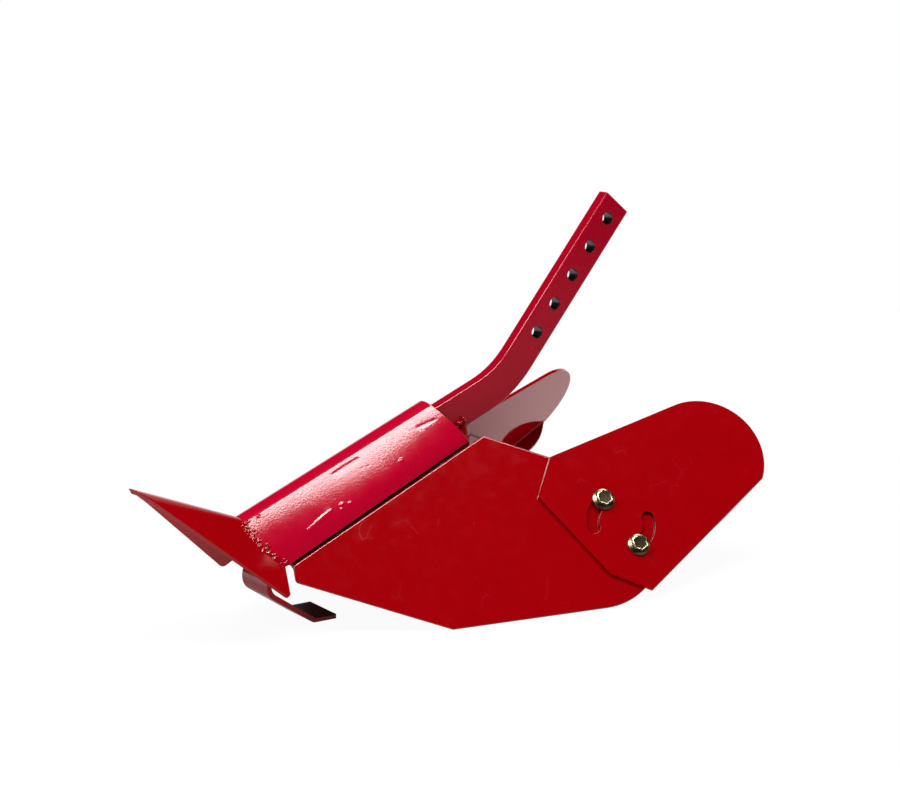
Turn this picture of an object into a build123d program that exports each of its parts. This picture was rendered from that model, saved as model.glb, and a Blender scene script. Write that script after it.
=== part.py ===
from build123d import *
import os
from math import atan2, cos, degrees, radians, sin, sqrt, tan

# Furrow plough for a small tiller, in millimetres and degrees.
# It is drawn in its working stance, with the origin at the shank's top hole, +X forward, +Y left and +Z up,
# and at the end it is turned to stand on the lower edges of its wings.

# Shank: a drilled flat bar with one forward bend
SHANK_WIDTH = 30.0
SHANK_THICK = 12.0
SHANK_EDGE = 2.0
SHANK_TOP = 17.5
HOLE_DIA = 11.0
HOLE_PITCH = 30.0
HOLE_COUNT = 5
KNEE_DROP = 172.0
KNEE_RADIUS = 100.0
LEG_RAKE = 28.0
LEG_LENGTH = 243.0
FOOT_OVERRUN = 9.0

# Share: a plate folded to a ridge, pointing down and forward
SHARE_THICK = 3.5
SHARE_LENGTH = 138.5
SHARE_HALF_WIDTH = 58.0
SHARE_SWEEP = 3.0
SHARE_TAIL = 3.0
SHARE_PITCH = 17.7
SHARE_SLOPE = 40.0
SHARE_RIDGE_RADIUS = 8.0
SHARE_CORNER = 3.0

# Breast plate: a folded vee along the front of the leg
BREAST_THICK = 4.0
BREAST_HALF_ANGLE = 32.0
BREAST_BEND = 6.0
BREAST_TOP = 76.5
BREAST_TOP_SLANT = 15.0
BREAST_REAR = 20.0
BREAST_REAR_TAPER = 1.2

# Skid: a bent strip behind the share
SKID_THICK = 4.0
SKID_WIDTH = 43.0
SKID_DROP = 2.4
SKID_GAP = 1.5
SKID_RUN = 56.5
SKID_LIP = 20.5
SKID_LIP_ANGLE = 39.0
SKID_FRONT_BEND = 14.0
SKID_REAR_BEND = 5.0

# Wings: flat plates behind the breast, measured from the lower front corner along and across the plate
WING_THICK = 3.0
WING_FLARE = 38.5
WING_LEAN = 15.5
WING_GAP = 2.2
WING_FOOT = 253.0
WING_TOE_RUN = 9.0
WING_TOE_DROP = 10.2
WING_TOE_RADIUS = 4.0
WING_HEEL_RUN = 133.5
WING_HEEL_RISE = 25.3
WING_HEEL_RADIUS = 2.0
WING_TAIL_RUN = 245.5
WING_TAIL_RISE = 124.5
WING_TAIL_RADIUS = 60.0
WING_REAR_RUN = 251.0
WING_REAR_RISE = 159.5
WING_REAR_RADIUS = 12.0
WING_BACK_RUN = 232.0
WING_FRONT_RUN = 70.5
WING_FRONT_RISE = 184.5
WING_TOP_SLOPE = 14.8
WING_FRONT_RADIUS = 2.0
WING_BOLT_HOLE = 9.0

# Extensions: plates that swing on the wings about a point between two slotted bolts
EXT_THICK = 3.0
PIVOT_RUN = 204.3
PIVOT_RISE = 179.8
BOLT_CIRCLE = 23.7
BOLT_ANGLE = 156.5
SLOT_WIDTH = 10.5
SLOT_SWEEP = 68.0
EXT_FRONT_REACH = 77.4
EXT_FRONT_RISE = 18.0
EXT_CHIN_REACH = 68.5
EXT_CHIN_DROP = 18.8
EXT_FOOT_REACH = 13.5
EXT_FOOT_DROP = 44.2
EXT_HEEL_REACH = 49.7
EXT_HEEL_DROP = 37.0
EXT_EDGE_LEAN = 13.5
EXT_EDGE_ROUND = 2.0
EXT_END_REACH = 32.7
EXT_END_RISE = 93.2
EXT_END_RADIUS = 52.0
EXT_CORNER = 1.5
LIP_LENGTH = 66.0
LIP_DEPTH = 16.5

# Flange bolts, washers and nuts
BOLT_DIA = 8.0
FLANGE_DIA = 18.5
FLANGE_RIM = 1.4
HEX_WIDTH = 13.0
HEAD_HEIGHT = 8.0
HEAD_CROWN = 1.2
DISH_DIA = 8.5
DISH_DEPTH = 1.2
BOLT_TAIL = 3.0
WASHER_DIA = 17.0
WASHER_THICK = 1.6
NUT_HEIGHT = 6.8
THREAD_GAP = 0.2

# Gussets: straps from the shank to the upper front corners of the wings
GUSSET_THICK = 4.0
GUSSET_HEIGHT = 12.5
GUSSET_SLOPE = 38.0
GUSSET_TOP = 219.5

# Weld beads
SHARE_BEAD = 2.8
SHARE_BEAD_END = 1.5
SEAM_BITE = 1.4
SEAM_RECESS = 2.0
SEAM_ENDS = (0.005, 0.99)
GUSSET_BEAD = 2.6
SKID_BEAD = 4.2
SKID_BEAD_RUN = 9.0
SHANK_BEAD = 2.4
SHANK_BEAD_RUN = 60.0

# Clearances: between pieces that are welded, and between pieces that slide
SEAT = 0.3
RUN_GAP = 0.3

FAR = 1000.0

# Leg: its own directions, measured from the corner of the bend
rake = radians(LEG_RAKE)
leg_down = Vector(sin(rake), 0, -cos(rake))
leg_front = Vector(cos(rake), 0, sin(rake))
knee = Vector(0, 0, -KNEE_DROP)


def leg_point(run, forward, side=0.0):
    """A point at a run down the leg, a distance in front of its centre line and a distance to the left."""
    return knee + leg_down * run + leg_front * forward + Vector(0, side, 0)


# Breast: where its two faces would meet, inside and outside, seen along the leg
breast_angle = radians(BREAST_HALF_ANGLE)
breast_inner = SHANK_WIDTH / 2 + (SHANK_THICK / 2 + SEAT) / tan(breast_angle)
breast_outer = breast_inner + BREAST_THICK / sin(breast_angle)
breast_bend_out = BREAST_BEND + BREAST_THICK
breast_spine = breast_outer - breast_bend_out * (1 / sin(breast_angle) - 1)
breast_face = leg_front * sin(breast_angle) + Vector(0, cos(breast_angle), 0)
rear_taper = tan(radians(BREAST_REAR_TAPER))

# Share: its ridge line, and its left face
share_pitch = radians(SHARE_PITCH)
share_slope = radians(SHARE_SLOPE)
share_ahead = Vector(cos(share_pitch), 0, -sin(share_pitch))
share_up = Vector(sin(share_pitch), 0, cos(share_pitch))
share_rear = leg_point(LEG_LENGTH, 0) - share_ahead * SHARE_TAIL
ridge_cut = SHARE_RIDGE_RADIUS * (1 / cos(share_slope) - 1)
share_apex = share_rear + share_up * ridge_cut
share_normal = share_up * cos(share_slope) + Vector(0, sin(share_slope), 0)
share_corner = (share_apex + share_ahead * SHARE_SWEEP + Vector(0, SHARE_HALF_WIDTH, 0)
                - share_up * (SHARE_HALF_WIDTH * tan(share_slope)))

# Wing plane: along the plate, up the plate and out of it, from the lower front corner of its outer face
flare = radians(WING_FLARE)
lean = radians(WING_LEAN)
wing_along = Vector(-cos(flare), sin(flare), 0)
wing_out = Vector(sin(flare) * cos(lean), cos(flare) * cos(lean), sin(lean))
wing_rise = wing_out.cross(wing_along)
wing_corner = leg_point(WING_FOOT, -BREAST_REAR - WING_GAP, (breast_outer + BREAST_REAR) * tan(breast_angle))
top_slope = tan(radians(WING_TOP_SLOPE))
bolt_turn = radians(BOLT_ANGLE)


def wing_plane(outward):
    """The wing's own plane, moved outward from its outer face."""
    return Plane(origin=wing_corner + wing_out * outward, x_dir=wing_along, z_dir=wing_out)


def pivot_plane(outward):
    """The wing's own plane with its origin on the axis that the extension swings about."""
    centre = wing_corner + wing_along * PIVOT_RUN + wing_rise * PIVOT_RISE
    return Plane(origin=centre + wing_out * outward, x_dir=wing_along, z_dir=wing_out)


bolt_places = [(BOLT_CIRCLE * cos(bolt_turn), BOLT_CIRCLE * sin(bolt_turn)),
               (-BOLT_CIRCLE * cos(bolt_turn), -BOLT_CIRCLE * sin(bolt_turn))]


def make_shank():
    """The bar, bent at the knee, drilled at the top and saddled over the share's ridge at the foot."""
    path = FilletPolyline((0, 0, SHANK_TOP), knee, leg_point(LEG_LENGTH + FOOT_OVERRUN, 0), radius=KNEE_RADIUS)
    section = Plane(origin=path @ 0, x_dir=(1, 0, 0), z_dir=path % 0)
    bar = sweep(section * RectangleRounded(SHANK_WIDTH, SHANK_THICK, SHANK_EDGE), path=path)
    for count in range(HOLE_COUNT):
        hole = Cylinder(HOLE_DIA / 2, SHANK_THICK * 2, rotation=(90, 0, 0))
        bar -= Pos(0, 0, -count * HOLE_PITCH) * hole
    return bar - ridge_wedge(SEAT)


def ridge_wedge(lift, radius=SHARE_RIDGE_RADIUS):
    """Everything below the share's two upper faces, with the ridge rounded, lifted square to the faces."""
    apex = lift / cos(share_slope)
    drop = FAR * tan(share_slope)
    plane = Plane(origin=share_apex - share_ahead * FAR, x_dir=(0, 1, 0), z_dir=share_ahead)
    section = make_face(Polyline((0, apex), (FAR, apex - drop), (-FAR, apex - drop), close=True))
    crest = section.vertices().sort_by(Axis.Y)[-1]
    return extrude(plane * fillet(crest, radius), amount=2 * FAR)


def make_share():
    """Two flat sides that meet in a rounded ridge, with square cut edges."""
    plane = Plane(origin=share_apex, x_dir=share_ahead, z_dir=share_normal)
    down_slope = SHARE_HALF_WIDTH / cos(share_slope)
    corner = (SHARE_SWEEP, down_slope)
    outline = make_face(Polyline((SHARE_LENGTH, -down_slope), (SHARE_LENGTH, 0), corner, (0, 0),
                                 (0, -down_slope), close=True))
    tip = outline.vertices().group_by(Axis.Y)[-1]
    side = extrude(plane * fillet(tip, SHARE_CORNER), amount=SHARE_THICK * 2, both=True)
    shell = ridge_wedge(0) - ridge_wedge(-SHARE_THICK, SHARE_RIDGE_RADIUS - SHARE_THICK)
    half = split(side & shell, bisect_by=Plane.XZ, keep=Keep.BOTTOM)
    return half + mirror(half, about=Plane.XZ)


def make_breast():
    """The folded vee, slanted at the top, trimmed at the back and fitted to the share below."""
    tail = breast_outer + FAR
    half_tail = tail * tan(breast_angle)
    outer = make_face(Polyline((breast_outer, 0), (-FAR, half_tail), (-FAR, -half_tail), close=True))
    outer = fillet(outer.vertices().sort_by(Axis.X)[-1], breast_bend_out)
    inner = Pos(breast_inner - breast_outer, 0) * make_face(
        Polyline((breast_outer, 0), (-FAR, half_tail), (-FAR, -half_tail), close=True))
    inner = fillet(inner.vertices().sort_by(Axis.X)[-1], BREAST_BEND)
    plane = Plane(origin=knee, x_dir=leg_front, z_dir=leg_down)
    vee = extrude(plane * (outer - inner), amount=LEG_LENGTH * 2)
    slant = radians(BREAST_TOP_SLANT)
    top = Plane(origin=leg_point(BREAST_TOP, breast_spine), z_dir=leg_front * sin(slant) - leg_down * cos(slant))
    back = Plane(origin=leg_point(LEG_LENGTH, -BREAST_REAR), z_dir=leg_front * -1 - leg_down * rear_taper)
    vee = split(vee, bisect_by=top, keep=Keep.BOTTOM)
    vee = split(vee, bisect_by=back, keep=Keep.BOTTOM)
    return vee - ridge_wedge(SEAT)


def breast_rear(run):
    """How far the breast's rear edge lies behind the leg's centre line at a run down the leg."""
    return BREAST_REAR + (run - LEG_LENGTH) * rear_taper


def breast_top_corner():
    """The breast's upper rear corner, as a run down the leg."""
    slope = tan(radians(BREAST_TOP_SLANT))
    start = BREAST_TOP - (breast_spine + BREAST_REAR - LEG_LENGTH * rear_taper) * slope
    return start / (1 + rear_taper * slope)


def make_skid():
    """A strip that comes down behind the share, runs level and turns up at its rear end."""
    bottom = share_corner.Z - SKID_DROP + SKID_THICK / 2
    edge_share = SKID_WIDTH / 2 / SHARE_HALF_WIDTH
    front = share_rear.X + (share_corner.X - share_rear.X) * edge_share - SKID_GAP - SKID_THICK / 2
    top = leg_point(LEG_LENGTH + FOOT_OVERRUN, -SHANK_WIDTH / 2).Z - SEAT
    lip = radians(SKID_LIP_ANGLE)
    rear = front - SKID_RUN
    path = FilletPolyline((front, 0, top), (front, 0, bottom), (rear, 0, bottom),
                          (rear - SKID_LIP * cos(lip), 0, bottom + SKID_LIP * sin(lip)),
                          radius=[SKID_FRONT_BEND, SKID_REAR_BEND])
    section = Plane(origin=path @ 0, x_dir=(0, 1, 0), z_dir=path % 0)
    return sweep(section * RectangleRounded(SKID_WIDTH, SKID_THICK, SKID_THICK / 5), path=path)


def make_wing():
    """The left wing plate, with two bolt holes."""
    back_rise = WING_FRONT_RISE + (WING_BACK_RUN - WING_FRONT_RUN) * top_slope
    corners = [((0, 0), WING_TOE_RADIUS),
               ((WING_TOE_RUN, -WING_TOE_DROP), WING_TOE_RADIUS),
               ((WING_HEEL_RUN, WING_HEEL_RISE), WING_HEEL_RADIUS),
               ((WING_TAIL_RUN, WING_TAIL_RISE), WING_TAIL_RADIUS),
               ((WING_REAR_RUN, WING_REAR_RISE), WING_REAR_RADIUS),
               ((WING_BACK_RUN, back_rise), WING_REAR_RADIUS),
               ((WING_FRONT_RUN, WING_FRONT_RISE), WING_FRONT_RADIUS)]
    outline = rounded_outline(corners)
    plate = extrude(wing_plane(0) * outline, amount=-WING_THICK)
    for place in bolt_places:
        plate -= pivot_plane(0) * Pos(*place) * Cylinder(WING_BOLT_HOLE / 2, WING_THICK * 4)
    return plate


def rounded_outline(corners):
    """A closed outline with its own radius at each corner."""
    outline = make_face(Polyline([place for place, radius in corners], close=True))
    for place, radius in corners:
        vertex = outline.vertices().sort_by_distance((place[0], place[1], 0))[0]
        outline = fillet(vertex, radius)
    return outline


def extension_points():
    """The tangent point of the top edge, the top of the round end, and its corner with the straight edge."""
    centre = Vector(EXT_END_REACH, EXT_END_RISE)
    front = Vector(-EXT_FRONT_REACH, EXT_FRONT_RISE)
    reach = (centre - front).length
    aim = atan2(centre.Y - front.Y, centre.X - front.X)
    swing = atan2(EXT_END_RADIUS, sqrt(reach**2 - EXT_END_RADIUS**2))
    tangent_length = sqrt(reach**2 - EXT_END_RADIUS**2)
    tangent = front + Vector(cos(aim + swing), sin(aim + swing)) * tangent_length
    heel = Vector(EXT_HEEL_REACH, -EXT_HEEL_DROP)
    edge = Vector(sin(radians(EXT_EDGE_LEAN)), cos(radians(EXT_EDGE_LEAN)))
    back = (heel - centre).dot(edge)
    off = (heel - centre).length**2 - EXT_END_RADIUS**2
    corner = heel + edge * (sqrt(back**2 - off) - back)
    middle = ((tangent - centre).normalized() + (corner - centre).normalized()).normalized()
    return front, tangent, centre + middle * EXT_END_RADIUS, corner, heel, edge


def make_extension():
    """The left swinging plate with its arc slots, rounded rear edge and turned-in lip."""
    front, tangent, top, corner, heel, edge = extension_points()
    chin = (-EXT_CHIN_REACH, -EXT_CHIN_DROP)
    foot = (EXT_FOOT_REACH, -EXT_FOOT_DROP)
    outline = make_face([Line(front, tangent), ThreePointArc(tangent, top, corner), Line(corner, heel),
                         Line(heel, foot), Line(foot, chin), Line(chin, front)])
    for place in (front, chin, foot):
        vertex = outline.vertices().sort_by_distance((*Vector(place),))[0]
        outline = fillet(vertex, EXT_CORNER)
    for start in (BOLT_ANGLE, BOLT_ANGLE - 180):
        outline -= SlotArc(CenterArc((0, 0), BOLT_CIRCLE, start, SLOT_SWEEP), SLOT_WIDTH)
    plate = extrude(pivot_plane(RUN_GAP) * outline, amount=EXT_THICK)
    down = wing_along * -edge.X - wing_rise * edge.Y
    outer = pivot_plane(RUN_GAP + EXT_THICK)
    lip_top = outer.origin + wing_along * corner.X + wing_rise * corner.Y
    lip_plane = Plane(origin=lip_top, x_dir=down, z_dir=down.cross(wing_out * -1))
    shape = make_face([Line((0, 0), (LIP_LENGTH, 0)),
                       ThreePointArc((LIP_LENGTH, 0), (LIP_LENGTH / 2, LIP_DEPTH), (0, 0))])
    plate += extrude(lip_plane * shape, amount=-EXT_THICK)
    middle = lip_top + down * (corner - heel).length / 2
    rim = plate.edges().sort_by_distance(middle)[0]
    return fillet(rim, EXT_EDGE_ROUND)


def make_bolt():
    """A flange bolt with its flange's underside at zero height and its head upward."""
    stack = RUN_GAP + EXT_THICK + RUN_GAP + WING_THICK + WASHER_THICK + NUT_HEIGHT
    cone = (HEAD_HEIGHT - FLANGE_RIM) * 0.35
    flange = Cylinder(FLANGE_DIA / 2, FLANGE_RIM, align=(Align.CENTER, Align.CENTER, Align.MIN))
    collar = Pos(0, 0, FLANGE_RIM) * Cone(FLANGE_DIA / 2, HEX_WIDTH / 2, cone,
                                          align=(Align.CENTER, Align.CENTER, Align.MIN))
    hexagon = extrude(RegularPolygon(HEX_WIDTH / 2, 6, major_radius=False), amount=HEAD_HEIGHT)
    crown = Pos(0, 0, HEAD_HEIGHT - HEAD_CROWN) * Cone(
        HEX_WIDTH / sqrt(3) + HEAD_CROWN / 2, HEX_WIDTH / 2 - HEAD_CROWN, HEAD_CROWN * 1.5,
        align=(Align.CENTER, Align.CENTER, Align.MIN))
    below = Cylinder(HEX_WIDTH, HEAD_HEIGHT - HEAD_CROWN, align=(Align.CENTER, Align.CENTER, Align.MIN))
    hexagon &= below + crown
    dish = Pos(0, 0, HEAD_HEIGHT - DISH_DEPTH) * Cone(DISH_DIA / 2 - DISH_DEPTH, DISH_DIA / 2, DISH_DEPTH,
                                                      align=(Align.CENTER, Align.CENTER, Align.MIN))
    stem = Cylinder(BOLT_DIA / 2, stack + BOLT_TAIL, align=(Align.CENTER, Align.CENTER, Align.MAX))
    return flange + collar + hexagon + stem - dish


def make_washer():
    """A flat washer, face down on the wing's inner side."""
    ring = Cylinder(WASHER_DIA / 2, WASHER_THICK, align=(Align.CENTER, Align.CENTER, Align.MAX))
    return ring - Cylinder(BOLT_DIA / 2 + THREAD_GAP * 2, WASHER_THICK * 4)


def make_nut():
    """A hexagon nut under the washer."""
    hexagon = extrude(RegularPolygon(HEX_WIDTH / 2, 6, major_radius=False), amount=-NUT_HEIGHT)
    return hexagon - Cylinder(BOLT_DIA / 2 + THREAD_GAP, NUT_HEIGHT * 4)


def make_gusset():
    """A sloping strap from the shank's left side to the wing's inner face, behind the breast's top corner."""
    run = breast_top_corner()
    front = leg_point(run, -breast_rear(run)).X - SEAT
    slope = tan(radians(GUSSET_SLOPE))
    near = SHANK_THICK / 2 + SEAT
    reach = near + FAR / 10
    fall = (reach - near) * slope
    outline = make_face(Polyline((near, -GUSSET_TOP), (reach, -GUSSET_TOP - fall),
                                 (reach, -GUSSET_TOP - fall - GUSSET_HEIGHT), (near, -GUSSET_TOP - GUSSET_HEIGHT),
                                 close=True))
    strap = extrude(Plane(origin=(front, 0, 0), x_dir=(0, 1, 0), z_dir=(1, 0, 0)) * outline, amount=-GUSSET_THICK)
    inside = wing_plane(-WING_THICK - SEAT)
    return split(strap, bisect_by=inside, keep=Keep.BOTTOM), front


def bead(start, end, radius, neighbours):
    """A round weld bead between two points, cut back to the faces of the pieces that it joins."""
    length = (end - start).length
    plane = Plane(origin=start, z_dir=end - start)
    body = plane * Cylinder(radius, length, align=(Align.CENTER, Align.CENTER, Align.MIN))
    for piece in neighbours:
        body -= piece
    return body.solids().sort_by(SortBy.VOLUME)[-1]


def share_seam(side):
    """The point at a distance to the left where the breast's outer face meets the share's upper face."""
    breast_level = breast_face.dot(leg_point(0, breast_outer)) - breast_face.Y * side
    share_level = share_normal.dot(share_apex) - share_normal.Y * side
    scale = breast_face.X * share_normal.Z - breast_face.Z * share_normal.X
    x = (breast_level * share_normal.Z - breast_face.Z * share_level) / scale
    z = (breast_face.X * share_level - breast_level * share_normal.X) / scale
    return Vector(x, side, z)


def make_share_weld(breast, share):
    """The bead along the foot of the breast's left face."""
    first = breast_bend_out * cos(breast_angle)
    last = (breast_outer + BREAST_REAR) * tan(breast_angle) - SHARE_BEAD_END
    return bead(share_seam(first), share_seam(last), SHARE_BEAD, [breast, share])


def make_seam_weld(breast, wing, front):
    """The bead behind the joint of the breast's rear edge and the wing's front edge, up to the gusset's front."""
    front_edge = wing_along * WING_FRONT_RUN + wing_rise * WING_FRONT_RISE
    wing_start = wing_corner - wing_out * WING_THICK
    ends = []
    widths = []
    for share in SEAM_ENDS:
        wing_edge = wing_start + front_edge * share
        run = (wing_edge - knee).dot(leg_down)
        rear = breast_rear(run)
        breast_edge = leg_point(run, -rear, (breast_inner + rear) * tan(breast_angle))
        ends.append((wing_edge + breast_edge) * 0.5 - Vector(0, SEAM_BITE / 2, 0))
        widths.append((wing_edge - breast_edge).length / 2)
    seam = bead(ends[0], ends[1], max(widths) + SEAM_BITE, [breast, wing])
    face = Plane(origin=leg_point(0, breast_outer) - breast_face * SEAM_RECESS, z_dir=breast_face)
    seam = split(seam, bisect_by=face, keep=Keep.BOTTOM)
    seam = split(seam, bisect_by=wing_plane(-SEAM_RECESS), keep=Keep.BOTTOM)
    seam = split(seam, bisect_by=Plane(origin=(front + SEAT, 0, 0), z_dir=(1, 0, 0)), keep=Keep.TOP)
    return seam.solids().sort_by(SortBy.VOLUME)[-1]


def make_gusset_weld(front):
    """The quarter bead in front of the gusset, beside the shank's side."""
    top = Vector(front + SEAT, SHANK_THICK / 2 + SEAT, -GUSSET_TOP)
    rod = bead(top, top - Vector(0, 0, GUSSET_HEIGHT * 0.8), GUSSET_BEAD, [])
    ahead = split(rod, bisect_by=Plane(origin=top, z_dir=(1, 0, 0)), keep=Keep.TOP)
    return split(ahead, bisect_by=Plane(origin=top, z_dir=(0, 1, 0)), keep=Keep.TOP)


def make_skid_weld(skid, share):
    """The bead between the skid's upright and the share's rear edge."""
    ends = []
    for side in (SKID_WIDTH / 2 - SKID_BEAD_RUN, SKID_WIDTH / 2 - SEAT):
        edge = share_rear + (share_corner - share_rear) * (side / SHARE_HALF_WIDTH)
        ends.append(edge - share_up * (SHARE_THICK * 1.2) - Vector(SKID_GAP * 0.6, 0, 0))
    return bead(ends[0], ends[1], SKID_BEAD, [skid, share])


def make_shank_weld(breast, shank):
    """The bead inside the breast, where its left face meets the shank's side."""
    forward = SHANK_WIDTH / 2 - SHANK_EDGE - SEAT
    side = SHANK_THICK / 2 + SHANK_BEAD / 3
    top = BREAST_TOP + SHANK_BEAD_RUN / 4
    return bead(leg_point(top, forward, side), leg_point(top + SHANK_BEAD_RUN, forward, side), SHANK_BEAD,
                [breast, shank])


def make_pieces():
    """Every piece by name, in the working stance."""
    shank = make_shank()
    share = make_share()
    breast = make_breast()
    skid = make_skid()
    wing = make_wing()
    gusset, gusset_front = make_gusset()
    centre_pieces = {"shank": shank, "share": share, "breast_plate": breast, "rear_skid": skid}
    left_pieces = {"wing": wing,
                   "extension": make_extension(),
                   "gusset": gusset,
                   "share_weld": make_share_weld(breast, share),
                   "seam_weld": make_seam_weld(breast, wing, gusset_front),
                   "gusset_weld": make_gusset_weld(gusset_front),
                   "skid_weld": make_skid_weld(skid, share),
                   "shank_weld": make_shank_weld(breast, shank)}
    flange_height = RUN_GAP + EXT_THICK + RUN_GAP
    for name, place in zip(("front", "rear"), bolt_places):
        left_pieces[name + "_bolt"] = pivot_plane(flange_height) * Pos(*place) * make_bolt()
        left_pieces[name + "_washer"] = pivot_plane(-WING_THICK) * Pos(*place) * make_washer()
        left_pieces[name + "_nut"] = pivot_plane(-WING_THICK - WASHER_THICK) * Pos(*place) * make_nut()
    pieces = dict(centre_pieces)
    for name, piece in left_pieces.items():
        pieces["left_" + name] = piece
        pieces["right_" + name] = mirror(piece, about=Plane.XZ)
    return pieces


def standing_place(pieces):
    """The turn that lays the wings' lower rear edges flat, and the move that centres the part on the floor."""
    edge = wing_along * (WING_TAIL_RUN - WING_HEEL_RUN) + wing_rise * (WING_TAIL_RISE - WING_HEEL_RISE)
    turn = Rotation(0, -degrees(atan2(edge.Z, -edge.X)), 0)
    box = Compound(children=[turn * piece for piece in pieces.values()]).bounding_box()
    return Pos(-box.center().X, 0, -box.min.Z) * turn


pieces = make_pieces()
stance = standing_place(pieces)
os.makedirs("parts", exist_ok=True)
for name, piece in pieces.items():
    export_step(stance * piece, os.path.join("parts", name + ".step"))
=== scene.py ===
import random
from math import cos, pi, radians, sin, tan

import bmesh
import bpy
from mathutils import Matrix, Vector, noise


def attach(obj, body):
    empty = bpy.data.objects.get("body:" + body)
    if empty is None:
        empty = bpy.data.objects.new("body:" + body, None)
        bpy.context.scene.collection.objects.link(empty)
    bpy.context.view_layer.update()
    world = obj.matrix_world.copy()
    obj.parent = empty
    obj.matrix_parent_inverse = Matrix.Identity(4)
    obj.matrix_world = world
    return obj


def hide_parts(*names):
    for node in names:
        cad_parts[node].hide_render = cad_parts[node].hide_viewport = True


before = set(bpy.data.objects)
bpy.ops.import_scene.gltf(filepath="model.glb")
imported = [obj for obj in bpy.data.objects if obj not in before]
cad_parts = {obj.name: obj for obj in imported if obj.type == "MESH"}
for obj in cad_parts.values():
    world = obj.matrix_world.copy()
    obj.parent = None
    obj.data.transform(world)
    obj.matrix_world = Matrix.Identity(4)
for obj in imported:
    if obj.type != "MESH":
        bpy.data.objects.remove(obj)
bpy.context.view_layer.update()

# Directions in the shared frame
LEFT = Vector((0.0, 1.0, 0.0))
UPWARD = Vector((0.0, 0.0, 1.0))

# Camera, in metres, with its lens and sensor in millimetres
CAMERA_PLACE = Vector((0.812476, 1.306819, 0.504964))
CAMERA_RIGHT = Vector((-0.830067, 0.554862, -0.055816))
CAMERA_UP = Vector((-0.167024, -0.151866, 0.974186))
CAMERA_LENS = 76.09
CAMERA_SENSOR = 36.0

# Studio lamps: azimuth, elevation, distance, width, height and power, in degrees, metres and watts
PLOUGH_MIDDLE = Vector((0.0, 0.0, 0.1))
PANELS = {
    "panel_left": (92.0, 66.0, 2.1, 1.15, 0.48, 37.0),
    "panel_front": (2.0, 56.0, 2.3, 1.1, 0.8, 33.0),
    "panel_back": (-150.0, 55.0, 2.4, 1.2, 0.8, 13.0),
}

# Floor: its size, its tone, how white the camera sees it by distance, and how bright it glows in the paint's
# mirror, as a painted reflection with a painted shadow near the plough and dimmer towards the left
FLOOR_RADIUS = 1.7
FLOOR_STEPS = 96
FLOOR_TONE = 0.93
FLOOR_CLEAR = 0.55
FLOOR_WHITE = 1.36
FLOOR_LIFT = 0.95
FLOOR_RING = (0.15, 0.42)
FLOOR_NEAR = 0.3
FLOOR_LIT = (0.0, 0.28)
FLOOR_DIM = (0.60, 1.60)
FLOOR_FAR = 0.22

# Room: its fill, and the directions in which the paint mirrors a white backdrop and its skirt
FILL_LEVEL = 0.20
DIM_LEVEL = 0.004
BACKDROP_AZIMUTH = radians(-140)
BACKDROP_SIDES = (cos(radians(26)), cos(radians(12)))
BACKDROP_TOP = (sin(radians(44)), sin(radians(30)))
SKIRT_SIDES = (cos(radians(72)), cos(radians(54)))
SKIRT_TOP = (sin(radians(22)), sin(radians(8)))

# Edge roundings and mesh steps, in metres
MERGE = 0.000002
PLATE_ROUND = 0.0008
BAR_ROUND = 0.0045
HOLE_ROUND = 0.0006
LIP_ROUND = 0.0035
SLOT_ROUND = 0.0003
STEEL_ROUND = 0.0003
SHARP_ANGLE = radians(32)
FLAT_ANGLE = radians(0.4)
ROUND_STEPS = 5

# Sheared edges of the wings: widths and rises of their steps, and which faces count as the outer one
ROLL_WIDTHS = (0.00018, 0.0002, 0.0003, 0.00035, 0.0004)
ROLL_RISES = (0.00017, 0.00013, 0.00012, 0.00008, 0.00003)
ROLL_FACING = 0.999
ROLL_DEPTH = 0.0001

# Left wing and extension: the way out of their faces, the extension's pivot and its slots' ring
WING_OUT = Vector((0.261253, 0.754145, 0.602505))
SWING_PLACE = Vector((-0.11712, 0.122463, 0.056649))
SLOT_REACH = 0.0295
SLOT_FLAT = 0.97

# Skid: the reach and facing of the painted shade inside its end, and how its front bend sags
SKID_END = 0.0195
SKID_LEVEL = 0.8
SKID_BEND = Vector((0.1218, 0.0, 0.0037))
SKID_RUN = 0.045
SKID_RISE = 0.027
SKID_SAG = 0.0038

# Nose: the leg that it lies along, and its faces' turn from flat in degrees, by share of the half width
LEG_START = Vector((-0.091294, 0.0, 0.162534))
LEG_DOWN = Vector((0.942905, 0.0, -0.333061))
LEG_FRONT = Vector((0.333061, 0.0, 0.942905))
NOSE_HALF_ANGLE = radians(32)
NOSE_APEX = 0.03263
NOSE_REAR = 0.020
NOSE_LEG = 0.243
NOSE_TAPER = 0.020947
NOSE_MIDDLE_TURNS = ((0.0, 0.0), (0.243, 10.5), (0.35, 10.0), (0.435, 9.3), (0.52, 8.6), (0.61, 7.4),
                     (0.695, 5.6), (0.78, 0.0), (0.87, -12.0), (1.0, -20.0))
NOSE_END_TURNS = ((0.0, 0.0), (0.243, 10.3), (0.35, 9.2), (0.435, 7.6), (0.52, 5.0), (0.61, 1.5),
                  (0.695, -2.0), (0.78, -6.0), (0.87, -11.0), (1.0, -18.0))
NOSE_ENDS = (0.072, 0.25)
NOSE_STEPS = 400
NOSE_SLICE = 0.0024
NOSE_STRIP = 0.0012
NOSE_FOOT = 0.035
NOSE_FACING = 0.5

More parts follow.
